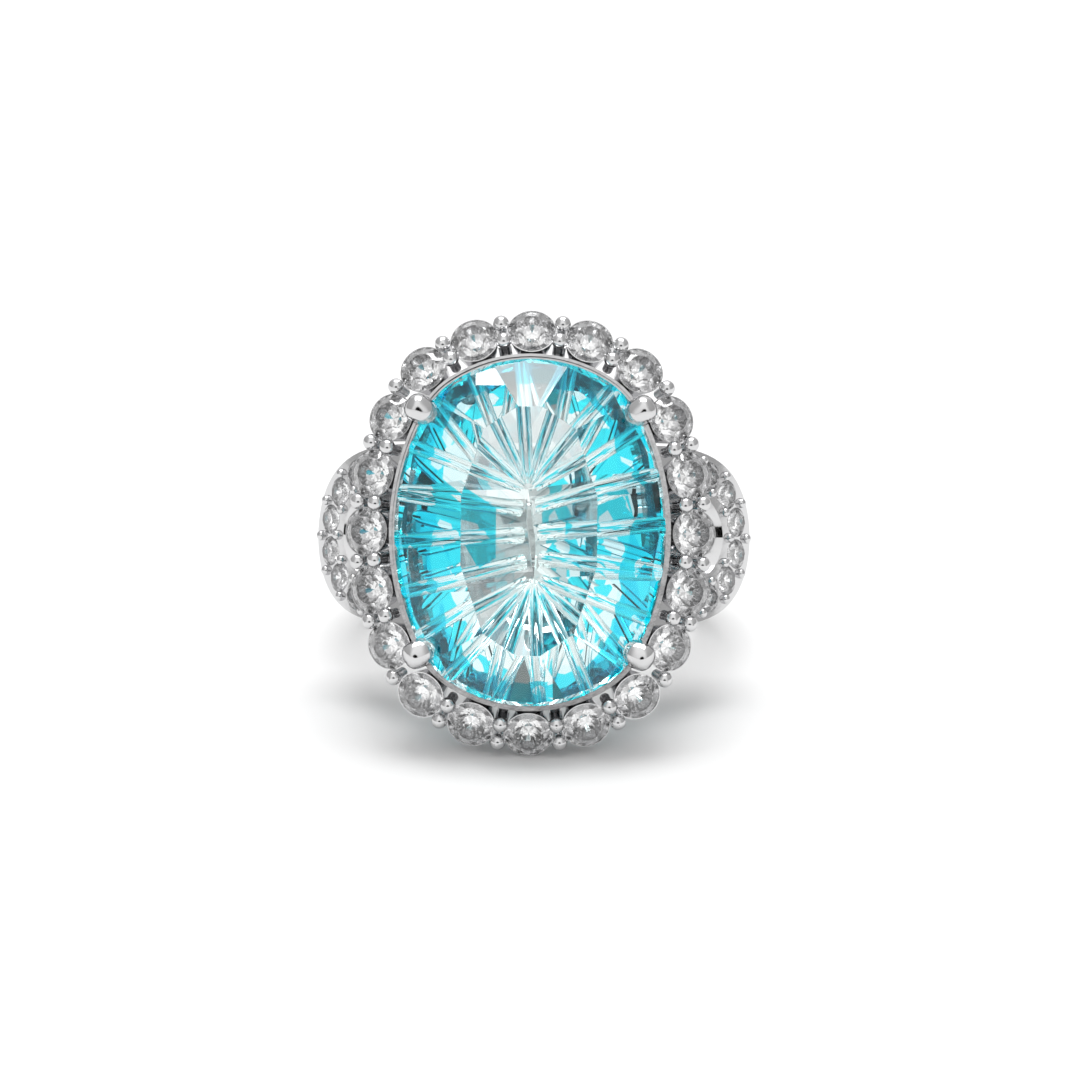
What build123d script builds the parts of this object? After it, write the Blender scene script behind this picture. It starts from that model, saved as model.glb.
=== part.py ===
from build123d import *
import os
from functools import cache
from math import atan2, cos, degrees, hypot, radians, sin, sqrt

# Cocktail ring, in millimetres. Everything is drawn upright, as a jeweller would: the finger
# hole runs along Y with its centre at the origin, and the head points up along +Z. The last
# step lays every piece down together, the way the ring leans back on a table.

# Finger hoop
BORE_R = 8.65            # finger size 7, 17.3 mm across
HOOP_TOP = 1.2           # hoop thickness under the head
HOOP_BOTTOM = 1.75       # hoop thickness at the back of the finger
HOOP_WIDTH = 3.4
HOOP_TOP_R = BORE_R + HOOP_TOP

# Centre stone, a cushion-shaped oval
STONE_X = 7.0            # half width across the finger
STONE_Y = 8.95           # half length along the finger
CORNER_X, CORNER_Y, CORNER_R = 1.68, 4.16, 4.3   # centre and radius of a corner arc
GIRDLE_Z = 15.6          # underside of the girdle
GIRDLE_H = 0.3
CROWN_H = 2.3
PAVILION_H = 5.3
TABLE_X, TABLE_Y = 3.5, 6.4
KEEL = 2.3               # half length of the keel line at the bottom of the stone
GROOVES = 20
TWIST = 4.0              # degrees that the keel and grooves are off the stone's long axis
GROOVE_R, GROOVE_DEPTH = 0.5, 0.16

# Halo round the centre stone
HALO_COUNT = 20
HALO_D = 2.45
HALO_OUT = 1.43          # from the stone's outline to the line of halo centres
HALO_Z = 15.35           # girdle height of the halo stones
HALO_TILT = 30           # degrees that each one leans outwards
CUP_WALL = 0.05
BEAD_R, BEAD_WIRE_R = 0.42, 0.27
BEAD_APART = 0.52        # from the halo line to a bead
BEAD_LIFT, BEAD_DEPTH = 0.2, 0.85
CLAW_SLOTS = (2, 7, 12, 17)   # gaps between halo stones that hold a claw
CLAW_R, CLAW_TIP_R = 0.45, 0.74
CLAW_OUT = 0.45          # from the stone's outline to the middle of a claw tip
RIM_GAP, RIM_WALL = 0.13, 0.14
RIM_OUT = RIM_GAP + RIM_WALL
RIM_TOP = GIRDLE_Z + GIRDLE_H + 0.25
BAND_FOOT = 14.2
BAND_OUT = 2.1

# Gallery under the halo
RAIL_IN, RAIL_OUT = -1.85, -1.1
RAIL_Z, RAIL_H = 11.9, 0.8
STRUT_R = 0.35
BASE_IN, BASE_OUT = -2.5, -1.3
BASE_R = 8.95

# Shoulders, a horseshoe on each side of the head
ARM_R = 13.2             # outside of the metal
ARM_BEND = 3.7           # radius of the horseshoe's centre line, seen from the side
ARM_BEND_Z = 11.4
ARM_LEG = 0.4            # straight part at the end of each leg
ARM_X = 5.2              # where the legs stop, inside the head
ARM_WIDTH = 1.96
ARM_COUNT = 4
ARM_D = 1.55
ARM_PITCH = 1.66
ARM_FIRST = ARM_PITCH / 2     # from the closed end to the first stone
ARM_BEAD_OUT = 0.6            # from the line of stones to a bead
ARM_BEAD_R, ARM_BEAD_WIRE_R = 0.26, 0.18
GEM_LIFT = -0.04              # how far a shoulder stone's girdle is below the metal

STANDING = (Align.CENTER, Align.CENTER, Align.MIN)   # a cylinder or cone on its foot
parts = {}


@cache
def outline(grow=0.0):
    """The centre stone's outline, grown outwards, as tangent arcs from the top going clockwise."""
    side = ((CORNER_Y ** 2 + (STONE_X - CORNER_X) ** 2 - CORNER_R ** 2)
            / (2 * (STONE_X - CORNER_X - CORNER_R)))
    end = ((CORNER_X ** 2 + (STONE_Y - CORNER_Y) ** 2 - CORNER_R ** 2)
           / (2 * (STONE_Y - CORNER_Y - CORNER_R)))
    a1 = degrees(atan2(CORNER_Y, CORNER_X - STONE_X + side))
    a2 = degrees(atan2(CORNER_Y - STONE_Y + end, CORNER_X))
    arcs = []
    for sx, sy in ((1, 1), (1, -1), (-1, -1), (-1, 1)):
        def arc(cx, cy, r, start, stop):
            spots = [Vector(sx * (cx + (r + grow) * cos(radians(a))),
                            sy * (cy + (r + grow) * sin(radians(a))))
                     for a in (start, (start + stop) / 2, stop)]
            return Edge.make_three_point_arc(*spots)
        quarter = [(0, STONE_Y - end, end, 90, a2), (CORNER_X, CORNER_Y, CORNER_R, a2, a1),
                   (STONE_X - side, 0, side, a1, 0)]
        if sx * sy < 0:
            quarter = [(cx, cy, r, stop, start) for cx, cy, r, start, stop in quarter[::-1]]
        arcs += [arc(*q) for q in quarter]
    return Wire(arcs)


def spot(t, grow=0.0):
    """A point on the outline a fraction t of the way round it, and the outward normal there."""
    wire = outline(grow)
    along = wire.tangent_at(t % 1)
    return wire.position_at(t % 1), Vector(-along.Y, along.X)


def band(inner, outer, z0, z1):
    """A plain band between two growths of the outline."""
    ring = make_face(outline(outer)) - make_face(outline(inner))
    return extrude(Pos(0, 0, z0) * ring, z1 - z0)


def facet(solid, point, normal):
    """Grinds one flat: keeps what lies behind the plane."""
    return solid.split(Plane(origin=point, z_dir=normal), keep=Keep.BOTTOM)


def brilliant(d):
    """A round brilliant standing on its girdle plane, table up."""
    r, table, crown, girdle, deep = d / 2, 0.57 * d / 2, 0.15 * d, 0.02 * d, 0.43 * d
    gem = Pos(0, 0, -deep) * Cylinder(r, deep + girdle + crown, align=STANDING)
    top = girdle + crown
    for k in range(8):
        for turn, side, z, reach, height in (
                (0.0, 1, girdle, r, 1.0), (0.5, 1, top, table * 1.02, 0.62), (0.0, -1, 0.0, r, 1.0)):
            a = radians(45 * (k + turn))
            out = Vector(cos(a), sin(a), 0)
            slope = (crown / (r - table) if side > 0 else deep / r) * height
            gem = facet(gem, out * reach + Vector(0, 0, z), Vector(slope * out.X, slope * out.Y, side))
    for k in range(16):
        a = radians(22.5 * (k + 0.5))
        out = Vector(cos(a), sin(a), 0)
        steep = 1.16 * crown / (r - table)
        gem = facet(gem, out * r * 0.985 + Vector(0, 0, girdle), Vector(steep * out.X, steep * out.Y, 1))
        steep = 1.04 * deep / r
        gem = facet(gem, out * r * 0.985, Vector(steep * out.X, steep * out.Y, -1))
    return gem


def envelope(d, hole=0.0, above=2.0):
    """The round room a brilliant takes up, with a light hole below when asked for."""
    r, deep, girdle, crown = d / 2, 0.43 * d, 0.02 * d, 0.15 * d
    profile = Polyline((0, -deep), (r, 0), (r, girdle), (0.57 * r, girdle + crown), (0, girdle + crown),
                       close=True)
    room = revolve(make_face(Plane.XZ * profile), Axis.Z)
    if hole:
        room += Pos(0, 0, -above) * Cylinder(hole, 2 * above)
        room += Pos(0, 0, girdle) * Cylinder(r, 1, align=STANDING)
    return room


def grain(ball, wire, length):
    """A grain of wire with a domed top, its dome centred on the origin."""
    return Sphere(ball) + Pos(0, 0, -length / 2) * Cylinder(wire, length)


# ---------------------------------------------------------------- centre stone
def tier(stone, count, turn, z, reach, z_far, far, side):
    """One tier of flats from the girdle, grown by reach, to where far() says it ends."""
    for k in range(count):
        p, n = spot((k + turn) / count)
        h = p.X * n.X + p.Y * n.Y + reach
        slope = abs(z_far - z) / (h - far(n))
        stone = facet(stone, n * h + Vector(0, 0, z), Vector(slope * n.X, slope * n.Y, side))
    return stone


def table_reach(n):
    return hypot(TABLE_X * n.X, TABLE_Y * n.Y)


def keel_reach(n):
    return KEEL * abs(n.dot(keel_way))


girdle_z, table_z, culet_z = GIRDLE_Z + GIRDLE_H, GIRDLE_Z + GIRDLE_H + CROWN_H, GIRDLE_Z - PAVILION_H
keel_way = Vector(-sin(radians(TWIST)), cos(radians(TWIST)), 0)
drift = TWIST / 360
uncut = extrude(Pos(0, 0, culet_z) * make_face(outline()), table_z - culet_z)
uncut = tier(uncut, 12, 0.0, girdle_z, 0.3, table_z, table_reach, 1)
uncut = tier(uncut, 24, 0.5, girdle_z, 0.0, table_z, lambda n: 1.12 * table_reach(n) + 0.9, 1)
uncut = tier(uncut, GROOVES, 0.5 - GROOVES * drift, GIRDLE_Z, 0.45, culet_z, keel_reach, -1)
uncut = tier(uncut, 2 * GROOVES, 0.5, GIRDLE_Z, 0.0, culet_z, lambda n: keel_reach(n) + 2.4, -1)
stone = uncut
for k in range(GROOVES):
    p, n = spot(k / GROOVES - drift)
    keel = keel_way * max(-KEEL, min(KEEL, 0.5 * p.dot(keel_way))) + Vector(0, 0, culet_z)
    edge = Vector(p.X, p.Y, GIRDLE_Z) + n * 0.45
    along = (edge - keel).normalized()
    below = along.cross(Vector(0, 0, 1).cross(along).normalized())
    start = keel + below * (GROOVE_DEPTH - GROOVE_R) * (1 if below.Z > 0 else -1)
    stone -= Plane(origin=start + along * 0.5, z_dir=along) * Cylinder(
        GROOVE_R, (edge - keel).length + 1, align=STANDING)
parts["centre_stone"] = stone


# ---------------------------------------------------------------- halo
def halo_plane(t, out=0.0, lift=0.0):
    """Where a halo stone or bead stands: out runs along the sloping top of the halo."""
    p, n = spot(t, HALO_OUT)
    tilt = radians(HALO_TILT)
    axis = Vector(n.X * sin(tilt), n.Y * sin(tilt), cos(tilt))
    down = Vector(n.X * cos(tilt), n.Y * cos(tilt), -sin(tilt))
    return Plane(origin=Vector(p.X, p.Y, HALO_Z) + down * out + axis * lift, x_dir=down, z_dir=axis)


gem, seat, room = brilliant(HALO_D), envelope(HALO_D, 0.45), envelope(HALO_D)
slope = sin(radians(HALO_TILT)) / cos(radians(HALO_TILT))
section = [(RIM_OUT, BAND_FOOT), (BAND_OUT, BAND_FOOT)]
section += [(u, HALO_Z - 0.15 - (u - HALO_OUT) * slope) for u in (BAND_OUT, RIM_OUT)]
frame = band(RIM_OUT, BAND_OUT, BAND_FOOT, HALO_Z + 1)
top_cut = Plane(origin=(0, 0, 0), x_dir=(0, 1, 0), z_dir=(1, 0, 0)) * make_face(Polyline(
    *[(STONE_Y + u, z) for u, z in (section[3], section[2], (BAND_OUT + 1, section[2][1] - slope),
                                   (BAND_OUT + 1, HALO_Z + 3), (RIM_OUT - 0.6, HALO_Z + 3),
                                   (RIM_OUT - 0.6, section[3][1] + 0.6 * slope))], close=True))
frame -= sweep(top_cut, path=outline(0.0))
cup_r = HALO_D / 2 + CUP_WALL
cup = Pos(0, 0, -1.85) * Cone(0.8, cup_r, 1.85 + 0.07, align=STANDING)
for k in range(HALO_COUNT):
    frame += halo_plane(k / HALO_COUNT) * cup
frame -= extrude(Pos(0, 0, BAND_FOOT - 2) * make_face(outline(RIM_OUT)), 6)
for k in range(HALO_COUNT):
    here = halo_plane(k / HALO_COUNT)
    frame -= here * seat
    parts[f"halo_stone_{k + 1:02d}"] = here * gem


# ---------------------------------------------------------------- claws
def claw(slot):
    """A claw wire from the base gallery up past the girdle, with a drop-shaped tip over the stone."""
    t = (slot + 0.5) / HALO_COUNT
    p, n = spot(t)
    high = Vector(p.X, p.Y, GIRDLE_Z + 0.9) + n * CLAW_OUT
    low = Vector(p.X, p.Y, 8.2) - n * 2.0
    wire = Plane(origin=low, z_dir=high - low) * Cylinder(CLAW_R, (high - low).length, align=STANDING)
    r = CLAW_TIP_R
    drop = make_face(Spline((-0.95 * r, 0), (0, r), (1.45 * r, 0), tangents=((0, 1), (0.35, -1)))
                     + Line((1.45 * r, 0), (-0.95 * r, 0)))
    tip = revolve(drop, Axis.X)
    lean = Plane(origin=high - n * 0.12 + Vector(0, 0, 0.05), x_dir=Vector(-n.X, -n.Y, -0.28),
                 z_dir=Vector(0, 0, 1) - n * 0.28)
    body = wire + lean * tip
    for k in (slot, slot + 1):
        body -= halo_plane(k / HALO_COUNT) * room
    body -= uncut
    return body - Rot(X=90) * Cylinder(HOOP_TOP_R, 40)


claws = [claw(slot) for slot in CLAW_SLOTS]
for k, piece in enumerate(claws):
    parts[f"claw_{k + 1}"] = piece

beads = []
for k in range(HALO_COUNT):
    for side in (-1, 1):
        if side < 0 and k in CLAW_SLOTS:
            continue
        here = halo_plane((k + 0.5) / HALO_COUNT, side * BEAD_APART, BEAD_LIFT)
        bead = here * grain(BEAD_R, BEAD_WIRE_R, BEAD_DEPTH + BEAD_LIFT)
        for near in (k, k + 1):
            bead -= halo_plane(near / HALO_COUNT) * room
        beads.append(bead)
        frame -= bead
for piece in claws:
    frame -= piece
parts["halo_frame"] = frame
parts["halo_beads"] = Compound(beads)

# ---------------------------------------------------------------- bezel rim and gallery
rim = band(RIM_GAP, RIM_OUT, BAND_FOOT, RIM_TOP) + band(-0.5, RIM_OUT, BAND_FOOT, GIRDLE_Z)
rim -= uncut
for piece in claws:
    rim -= piece
parts["stone_rim"] = rim

rail = band(RAIL_IN, RAIL_OUT, RAIL_Z, RAIL_Z + RAIL_H)
for piece in claws:
    rail -= piece
parts["gallery_rail"] = rail

struts = []
for k in (0, 4, 5, 9, 10, 14, 15, 19):
    p, n = spot((k + 0.5) / HALO_COUNT)
    low = Vector(p.X, p.Y, RAIL_Z + 0.3) + n * (RAIL_IN + RAIL_OUT) / 2
    high = Vector(p.X, p.Y, BAND_FOOT + 0.3) + n * 0.95
    strut = Plane(origin=low, z_dir=high - low) * Cylinder(STRUT_R, (high - low).length, align=STANDING)
    struts.append(strut - frame - rail - rim)
parts["gallery_struts"] = Compound(struts)

# ---------------------------------------------------------------- hoop and base gallery
hoop_out = (HOOP_TOP_R + BORE_R + HOOP_BOTTOM) / 2
hoop = Pos(0, 0, HOOP_TOP_R - hoop_out) * Rot(X=90) * Cylinder(hoop_out, HOOP_WIDTH)
hoop = fillet(hoop.edges().filter_by(GeomType.CIRCLE), 0.45)
hoop -= Rot(X=90) * Cylinder(BORE_R, HOOP_WIDTH + 2)
parts["hoop"] = hoop

base = band(BASE_IN, BASE_OUT, 0, HOOP_TOP_R + 1) & (
    Rot(X=90) * (Cylinder(HOOP_TOP_R, 40) - Cylinder(BASE_R, 41)))
base -= Rot(X=90) * Cylinder(HOOP_TOP_R + 1, HOOP_WIDTH)
for piece in base.solids():
    parts["base_gallery_" + ("upper" if piece.center().Y > 0 else "lower")] = piece


# ---------------------------------------------------------------- shoulders
def arm_plane(side, up, length, across=0.0, lift=0.0):
    """Where a shoulder stone or bead stands, length along the horseshoe from its closed end."""
    def point(s, aside):
        a = s / ARM_BEND
        bend = ARM_BEND + aside
        y = bend * sin(a) if a < radians(90) else bend
        z = ARM_BEND_Z - bend * cos(a) if a < radians(90) else ARM_BEND_Z + s - ARM_BEND * radians(90)
        return Vector(sqrt(ARM_R ** 2 - z ** 2), y, z)
    s, gone = 0.0, 0.0
    while gone < length:
        gone += (point(s + 0.02, 0) - point(s, 0)).length
        s += 0.02
    p = point(s, across)
    ahead = (point(s + 0.05, across) - point(s - 0.05, across)).normalized()
    out = Vector(p.X, 0, p.Z).normalized()
    place, ahead, out = (Vector(side * v.X, up * v.Y, v.Z) for v in (p + out * lift, ahead, out))
    return Plane(origin=place, x_dir=ahead, z_dir=out)


def arm_bead(side, up, k, across):
    """A grain in the gap below stone k of an arm, cut to fit the stones either side of it."""
    bead = arm_plane(side, up, k * ARM_PITCH, across, 0.05) * grain(ARM_BEAD_R, ARM_BEAD_WIRE_R, 0.7)
    for way, near in ((up, k), (up, k - 1)) if k else ((1, 0), (-1, 0)):
        bead -= arm_plane(side, way, ARM_FIRST + near * ARM_PITCH, lift=GEM_LIFT) * small_room
    return bead


strip = ARM_WIDTH / 2
shell = Rot(X=90) * (Cylinder(ARM_R, 20) - Cylinder(HOOP_TOP_R, 21)) - Box(2 * ARM_X, 40, 40)
small_gem, small_seat, small_room = brilliant(ARM_D), envelope(ARM_D, 0.3), envelope(ARM_D)
for side, side_name in ((-1, "left"), (1, "right")):
    tip_beads = [arm_bead(side, 1, 0, across) for across in (-ARM_BEAD_OUT, ARM_BEAD_OUT)]
    for up, up_name in ((1, "upper"), (-1, "lower")):
        # seen from the side: half of a U whose legs run up to the head
        half = (Circle(ARM_BEND + strip) - Circle(ARM_BEND - strip)) & (Pos(10, up * 10) * Rectangle(20, 20))
        half += Pos(-ARM_LEG / 2, up * ARM_BEND) * Rectangle(ARM_LEG, ARM_WIDTH)
        looking = Plane(origin=(0, 0, ARM_BEND_Z), x_dir=(0, 0, -1), z_dir=(side, 0, 0))
        arm = extrude(looking * (half if side > 0 else mirror(half, Plane.XZ)), 20) & shell
        arm -= hoop
        name = f"{side_name}_{up_name}"
        beads = [arm_bead(side, up, k, across) for k in range(1, ARM_COUNT + 1)
                 for across in (-ARM_BEAD_OUT, ARM_BEAD_OUT)]
        for bead in beads + tip_beads:
            arm -= bead
        if up > 0:
            beads += tip_beads
        for k in range(ARM_COUNT):
            here = arm_plane(side, up, ARM_FIRST + k * ARM_PITCH, lift=GEM_LIFT)
            arm -= here * small_seat
            parts[f"shoulder_stone_{name}_{k + 1}"] = here * small_gem
        parts[f"shoulder_arm_{name}"] = arm
        parts[f"shoulder_beads_{name}"] = Compound(beads)


# ---------------------------------------------------------------- laid down on a table
def lowest(names, lean):
    return min((Rot(X=90 - lean) * parts[n]).bounding_box().min.Z for n in names)


# The ring rests on the lower edge of its halo and on the back edge of its hoop, so it leans
# back until both are at the same height.
steep, shallow = 5.0, 45.0
for _ in range(16):
    lean = (steep + shallow) / 2
    if lowest(["halo_frame"], lean) < lowest(["hoop"], lean):
        steep = lean
    else:
        shallow = lean
lean = round(lean, 2)
print("lean", lean, "floor", lowest(["hoop"], lean), lowest(["halo_frame"], lean))
for name, shape in parts.items():
    export_step(Rot(X=90 - lean) * shape, f"parts/{name}.step")
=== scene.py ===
from math import cos, pi, radians, sin

import bpy
from mathutils import Matrix, Vector


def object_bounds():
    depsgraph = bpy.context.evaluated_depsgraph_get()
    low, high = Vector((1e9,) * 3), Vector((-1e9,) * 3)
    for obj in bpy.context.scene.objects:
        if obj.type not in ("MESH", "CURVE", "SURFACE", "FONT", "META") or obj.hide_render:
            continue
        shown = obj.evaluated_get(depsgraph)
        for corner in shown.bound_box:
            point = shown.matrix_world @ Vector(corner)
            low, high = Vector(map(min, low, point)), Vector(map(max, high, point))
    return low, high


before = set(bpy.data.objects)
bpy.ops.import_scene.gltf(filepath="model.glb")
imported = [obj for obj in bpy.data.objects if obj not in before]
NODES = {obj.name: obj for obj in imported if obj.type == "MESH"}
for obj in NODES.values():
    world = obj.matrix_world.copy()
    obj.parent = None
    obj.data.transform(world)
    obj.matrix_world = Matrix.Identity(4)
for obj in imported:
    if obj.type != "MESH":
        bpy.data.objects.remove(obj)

CAD_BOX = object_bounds()

MM = 0.001
LEAN = radians(21.59)                        # how far the ring leans back on the table
HEAD = Vector((0, -cos(LEAN), sin(LEAN)))    # the way the head faces
UP = Vector((0, sin(LEAN), cos(LEAN)))       # along the head, towards its top
HEAD_REACH = 15.75                           # from the finger hole's centre to the head, in mm
HEAD_CENTRE = HEAD * HEAD_REACH * MM
FLOOR_Z = CAD_BOX[0][2]
FLOOR_SIZE = 3.0

# ---------------------------------------------------------------- material settings
SILVER = (0.69, 0.69, 0.695)
SILVER_EDGE = (0.7, 0.7, 0.71, 1)            # its tint at grazing angles
SILVER_ROUGHNESS = 0.10
SHINIEST, DULLEST = 0.6, 1.6                 # how far the roughness drifts, as a share of it
DARKEST = 0.93                               # how far the tone drifts
DRIFT_SIZE, RIPPLE_SIZE = 1.5, 0.9           # sizes of the drift and the ripples, in mm
RIPPLE_STRENGTH, RIPPLE_HEIGHT = 0.45, 0.02

ZIRCONIA_COOL, ZIRCONIA_WARM = (0.975, 0.985, 0.995), (0.99, 0.985, 0.975)
ZIRCONIA_IOR, ZIRCONIA_HAZE = 2.1, 0.06
CLOUD_SIZE = 0.8
CLEAN_BELOW = 0.4                            # noise below this leaves the polish without haze

TOPAZ_IOR = 1.68
PALE = (0.95, 0.985, 0.98)
# the light blue is painted reflection of white light in the facets; the deep blue is the stone's own
# blue
DEEP_BLUE, PAINTED_REFLECTION_BLUE = (0.04, 0.79, 0.91), (0.80, 0.95, 0.98)
CROWN = (0.97, 1.0, 1.0)
CROWN_FROM = 15.62                           # along HEAD, in mm
PATCH_SIZE, DEEP_BELOW = 1.5, 0.56           # size of the blue spots, and the cell values that are deep blue; the other cells are light blue, a painted reflection
PALE_WIDTH, PALE_HEIGHT = 3.5, 6.6           # half sizes of the pale middle, in mm
CORNER_X, CORNER_Y, CORNER_REACH = 0.85, 0.62, 5.9    # the slanting line that cuts its corners
BAY_FROM, BAY_SLOPE, BAY_HEIGHT = 1.8, 0.65, 1.3      # the blue bay on either side of the keel

FLOOR_TONE, FLOOR_ROUGHNESS = (0.82, 0.82, 0.82, 1), 0.9
LIGHT_BOUNCES = 24                           # light goes back and forth many times inside a gem


# ---------------------------------------------------------------- node helpers
def material(name):
    mat = bpy.data.materials.new(name)
    mat.use_nodes = True
    nodes = mat.node_tree.nodes
    nodes.clear()
    shader = nodes.new("ShaderNodeBsdfPrincipled")
    out = nodes.new("ShaderNodeOutputMaterial")
    mat.node_tree.links.new(shader.outputs["BSDF"], out.inputs["Surface"])
    return mat, shader


def node(mat, kind, **settings):
    """A node whose settings are inputs, where it has inputs of those names, and properties."""
    made = mat.node_tree.nodes.new(kind)
    for key, value in settings.items():
        if key in made.inputs:
            made.inputs[key].default_value = value
        else:
            setattr(made, key, value)
    return made


def link(mat, a, out, b, into):
    mat.node_tree.links.new(a.outputs[out], b.inputs[into])


def coordinates(mat, size):
    """Object coordinates scaled so that one unit is size millimetres."""
    where = node(mat, "ShaderNodeTexCoord")
    scale = node(mat, "ShaderNodeVectorMath", operation="SCALE", Scale=1 / (size * MM))
    link(mat, where, "Object", scale, 0)
    return scale


def noise_field(mat, size, detail):
    noise = node(mat, "ShaderNodeTexNoise", Scale=1.0, Detail=detail)
    link(mat, coordinates(mat, size), 0, noise, "Vector")
    return noise


def blend(mat, colour_a, colour_b):
    """A colour mix whose ends are the two colours until something is linked to them."""
    mix = node(mat, "ShaderNodeMix", data_type="RGBA")
    mix.inputs["A"].default_value = (*colour_a, 1)
    mix.inputs["B"].default_value = (*colour_b, 1)
    return mix


def calculate(mat, operation, a, b=0.0):
    """A Math node on sockets or numbers. Returns its socket."""
    made = mat.node_tree.nodes.new("ShaderNodeMath")
    made.operation = operation
    for slot, value in enumerate((a, b)):
        if hasattr(value, "is_output"):
            mat.node_tree.links.new(value, made.inputs[slot])
        else:
            made.inputs[slot].default_value = value
    return made.outputs[0]


# ---------------------------------------------------------------- materials
def silver(name):
    """Polished metal whose tone and shine drift a little, over faint ripples."""
    mat, shader = material(name)
    shader.inputs["Metallic"].default_value = 1.0
    shader.inputs["Specular Tint"].default_value = SILVER_EDGE
    drift = noise_field(mat, DRIFT_SIZE, 4.0)
    shine = node(mat, "ShaderNodeMapRange")
    shine.inputs["To Min"].default_value = SILVER_ROUGHNESS * SHINIEST
    shine.inputs["To Max"].default_value = SILVER_ROUGHNESS * DULLEST
    link(mat, drift, "Fac", shine, "Value")
    link(mat, shine, "Result", shader, "Roughness")
    tone = blend(mat, [c * DARKEST for c in SILVER], SILVER)
    link(mat, drift, "Fac", tone, "Factor")
    link(mat, tone, "Result", shader, "Base Color")
    bump = node(mat, "ShaderNodeBump", Strength=RIPPLE_STRENGTH, Distance=RIPPLE_HEIGHT * MM)
    link(mat, noise_field(mat, RIPPLE_SIZE, 3.0), "Fac", bump, "Height")
    link(mat, bump, "Normal", shader, "Normal")
    return mat


def zirconia(name):
    """Clear stone with a faint drift from cool to warm and a polish that is hazier in places."""
    mat, shader = material(name)
    shader.inputs["Transmission Weight"].default_value = 1.0
    shader.inputs["IOR"].default_value = ZIRCONIA_IOR
    cloud = noise_field(mat, CLOUD_SIZE, 3.0)
    tint = blend(mat, ZIRCONIA_COOL, ZIRCONIA_WARM)
    link(mat, cloud, "Fac", tint, "Factor")
    link(mat, tint, "Result", shader, "Base Color")
    polish = node(mat, "ShaderNodeMapRange")
    polish.inputs["From Min"].default_value = CLEAN_BELOW
    polish.inputs["To Max"].default_value = ZIRCONIA_HAZE
    link(mat, cloud, "Fac", polish, "Value")
    link(mat, polish, "Result", shader, "Roughness")
    return mat


def pale_middle(mat, x, y):
    """1 inside the pale middle of the stone and 0 outside it, as a socket."""
    corner = calculate(
        mat, "ADD", calculate(mat, "MULTIPLY", x, CORNER_X), calculate(mat, "MULTIPLY", y, CORNER_Y))
    inside = calculate(
        mat, "MULTIPLY", calculate(mat, "LESS_THAN", x, PALE_WIDTH),
        calculate(mat, "LESS_THAN", corner, CORNER_REACH))
    inside = calculate(mat, "MULTIPLY", inside, calculate(mat, "LESS_THAN", y, PALE_HEIGHT))
    rise = calculate(mat, "MULTIPLY", calculate(mat, "SUBTRACT", x, BAY_FROM), BAY_SLOPE)
    bay_top = calculate(mat, "ADD", rise, BAY_HEIGHT)
    bay = calculate(
        mat, "MULTIPLY", calculate(mat, "GREATER_THAN", x, BAY_FROM),
        calculate(mat, "LESS_THAN", y, bay_top))
    return calculate(mat, "MULTIPLY", inside, calculate(mat, "SUBTRACT", 1.0, bay))


def topaz(name):
    """Glass with a pale middle, spots of deep blue and of light blue round it, and a nearly clear
    crown. The light-blue spots are painted reflection of white light in the facets.

    The colours are placed by position in the stone. No layer of the real stone is modelled."""
    mat = bpy.data.materials.new(name)
    mat.use_nodes = True
    mat.node_tree.nodes.clear()
    glass = node(mat, "ShaderNodeBsdfGlass", IOR=TOPAZ_IOR, Roughness=0.0)
    out = node(mat, "ShaderNodeOutputMaterial")
    link(mat, glass, "BSDF", out, "Surface")
    where = node(mat, "ShaderNodeTexCoord")

    def along(axis):
        """How far a point lies along the axis, in mm."""
        dot = node(mat, "ShaderNodeVectorMath", operation="DOT_PRODUCT")
        link(mat, where, "Object", dot, 0)
        dot.inputs[1].default_value = Vector(axis) / MM
        return dot.outputs["Value"]

    x = calculate(mat, "ABSOLUTE", along((1, 0, 0)))
    y = calculate(mat, "ABSOLUTE", along(UP))
    cells = node(mat, "ShaderNodeTexVoronoi", Scale=1.0)
    link(mat, coordinates(mat, PATCH_SIZE), 0, cells, "Vector")
    # painted reflection: light-blue cells stand for white light reflected in facets, deep-blue cells
    # are the stone's blue
    blue_and_reflection_spots = node(mat, "ShaderNodeValToRGB")
    blue_and_reflection_spots.color_ramp.interpolation = "CONSTANT"
    blue_and_reflection_spots.color_ramp.elements[0].color = (*DEEP_BLUE, 1)
    blue_and_reflection_spots.color_ramp.elements[1].color = (*PAINTED_REFLECTION_BLUE, 1)
    blue_and_reflection_spots.color_ramp.elements[1].position = DEEP_BELOW
    link(mat, cells, "Color", blue_and_reflection_spots, "Fac")
    pavilion = blend(mat, DEEP_BLUE, PALE)
    link(mat, blue_and_reflection_spots, "Color", pavilion, "A")
    mat.node_tree.links.new(pale_middle(mat, x, y), pavilion.inputs["Factor"])
    whole = blend(mat, PALE, CROWN)
    link(mat, pavilion, "Result", whole, "A")
    mat.node_tree.links.new(
        calculate(mat, "GREATER_THAN", along(HEAD), CROWN_FROM), whole.inputs["Factor"])
    link(mat, whole, "Result", glass, "Color")
    return mat


BRIGHT = silver("polished_silver")
BLUE = topaz("blue_topaz")
CLEAR = zirconia("clear_zirconia")

for name, piece in NODES.items():
    kind = BLUE if name == "centre_stone" else CLEAR if "_stone_" in name else BRIGHT
    piece.data.materials.clear()
    piece.data.materials.append(kind)

# ---------------------------------------------------------------- floor
bpy.ops.mesh.primitive_plane_add(size=FLOOR_SIZE, location=(0, 0, FLOOR_Z))
floor = bpy.context.object
floor.name = "floor"
floor_mat, floor_shader = material("pale_floor")
floor_shader.inputs["Base Color"].default_value = FLOOR_TONE
floor_shader.inputs["Roughness"].default_value = FLOOR_ROUGHNESS
floor.data.materials.append(floor_mat)

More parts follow.
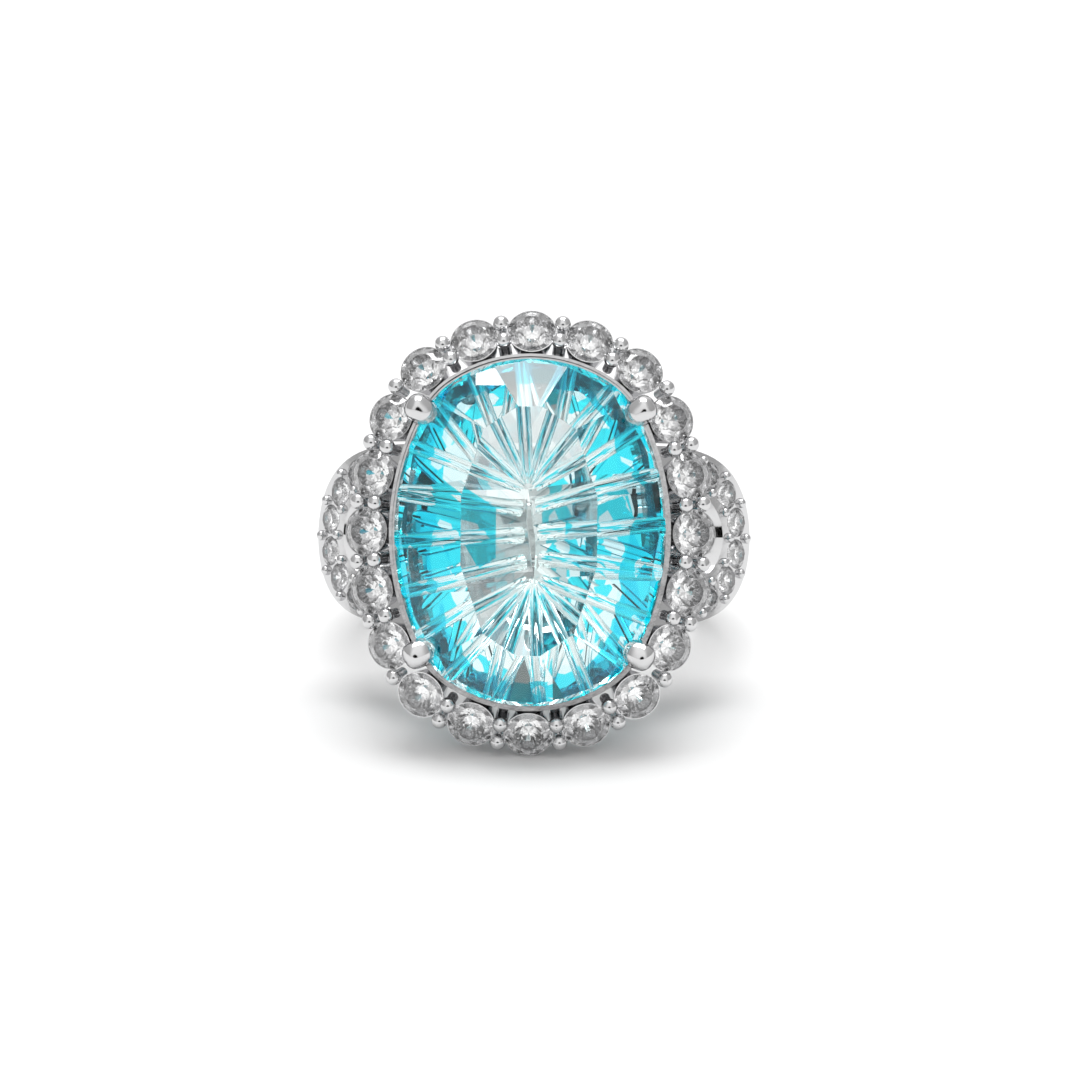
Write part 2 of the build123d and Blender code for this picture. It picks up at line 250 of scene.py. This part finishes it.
# ---------------------------------------------------------------- light
world = bpy.data.worlds.new("studio")
bpy.context.scene.world = world
world.use_nodes = True
studio = world.node_tree
back = studio.nodes["Background"]
back.inputs["Color"].default_value = (1, 1, 1, 1)
sky = studio.nodes.new("ShaderNodeTexCoord")


def facing(axis, start, stop, low, high):
    """Brightness round one direction: low beyond start degrees from it and high within stop."""
    dot = studio.nodes.new("ShaderNodeVectorMath")
    dot.operation = "DOT_PRODUCT"
    studio.links.new(sky.outputs["Generated"], dot.inputs[0])
    dot.inputs[1].default_value = Vector(axis).normalized()
    fade = studio.nodes.new("ShaderNodeMapRange")
    fade.interpolation_type = "SMOOTHSTEP"
    studio.links.new(dot.outputs["Value"], fade.inputs["Value"])
    fade.inputs["From Min"].default_value = cos(radians(start))
    fade.inputs["From Max"].default_value = cos(radians(stop))
    fade.inputs["To Min"].default_value = low
    fade.inputs["To Max"].default_value = high
    return fade.outputs["Result"]


def darkened(brightness, patch):
    product = studio.nodes.new("ShaderNodeMath")
    product.operation = "MULTIPLY"
    studio.links.new(brightness, product.inputs[0])
    studio.links.new(patch, product.inputs[1])
    return product.outputs[0]


brightness = facing((0, 0, 1), 95, 20, 0.95, 1.15)                               # a bright ceiling
brightness = darkened(brightness, facing((0.03, -1, 0.1), 20, 13, 1.0, 0.0))     # a black card in front
for side in (1, -1):
    brightness = darkened(brightness, facing((side, 0.1, 0.35), 65, 30, 1.0, 0.5))    # grey cards
studio.links.new(brightness, back.inputs["Strength"])


def area_lamp(name, size, power):
    bulb = bpy.data.lights.new(name, "AREA")
    bulb.shape = "RECTANGLE"
    bulb.size, bulb.size_y = size
    bulb.energy = power
    lamp = bpy.data.objects.new(name, bulb)
    bpy.context.scene.collection.objects.link(lamp)
    return lamp


def softbox(name, direction, distance, size, power):
    lamp = area_lamp(name, size, power)
    lamp.location = HEAD_CENTRE + Vector(direction).normalized() * distance
    lamp.rotation_euler = (HEAD_CENTRE - lamp.location).to_track_quat("-Z", "Y").to_euler()


softbox("overhead", direction=(0, 0.25, 1.0), distance=0.5, size=(0.38, 0.26), power=1.8)

# ---------------------------------------------------------------- camera
AZIMUTH, ELEVATION, DISTANCE = radians(1.3), radians(20.1), 0.42
SPAN = 55.67 * MM                            # what the picture's width covers at the head
AIM_RIGHT, AIM_DOWN = 0.515 * MM, 0.387 * MM    # the picture's centre, seen from the head's
SENSOR = 36

camera = bpy.data.objects.new("camera", bpy.data.cameras.new("camera"))
bpy.context.scene.collection.objects.link(camera)
towards = Vector((sin(AZIMUTH) * cos(ELEVATION), -cos(AZIMUTH) * cos(ELEVATION), sin(ELEVATION)))
turn = towards.to_track_quat("Z", "Y")
right, above = turn @ Vector((1, 0, 0)), turn @ Vector((0, 1, 0))
camera.location = HEAD_CENTRE + right * AIM_RIGHT - above * AIM_DOWN + towards * DISTANCE
camera.rotation_euler = turn.to_euler()
camera.data.sensor_width = SENSOR
camera.data.lens = SENSOR * DISTANCE / SPAN
camera.data.clip_start = 0.01
camera.data.clip_end = 20
bpy.context.scene.camera = camera
bpy.context.scene.view_settings.view_transform = "Standard"

# ---------------------------------------------------------------- highlight in the crown
FACET_POINT = Vector((-1.5, -12.85, 13.57)) * MM                # on the crown facet left of the top one
FACET_NORMAL = Vector((-0.314, -0.589, 0.744)).normalized()


def glint(name, point, normal, distance, size, radiance):
    """A small lamp that shows as a bright patch in the flat facet at point, seen from the camera."""
    lamp = area_lamp(name, size, radiance * pi * size[0] * size[1])
    across, along = right.reflect(normal), above.reflect(normal)
    away = (point - camera.location).normalized().reflect(normal)
    lamp.rotation_euler = Matrix((across, along, across.cross(along))).transposed().to_euler()
    lamp.location = point + away * distance


glint("glint", FACET_POINT, FACET_NORMAL, distance=0.3, size=(4.3 * MM, 1.5 * MM), radiance=15)

paths = bpy.context.scene.cycles
paths.max_bounces = paths.glossy_bounces = paths.transmission_bounces = LIGHT_BOUNCES
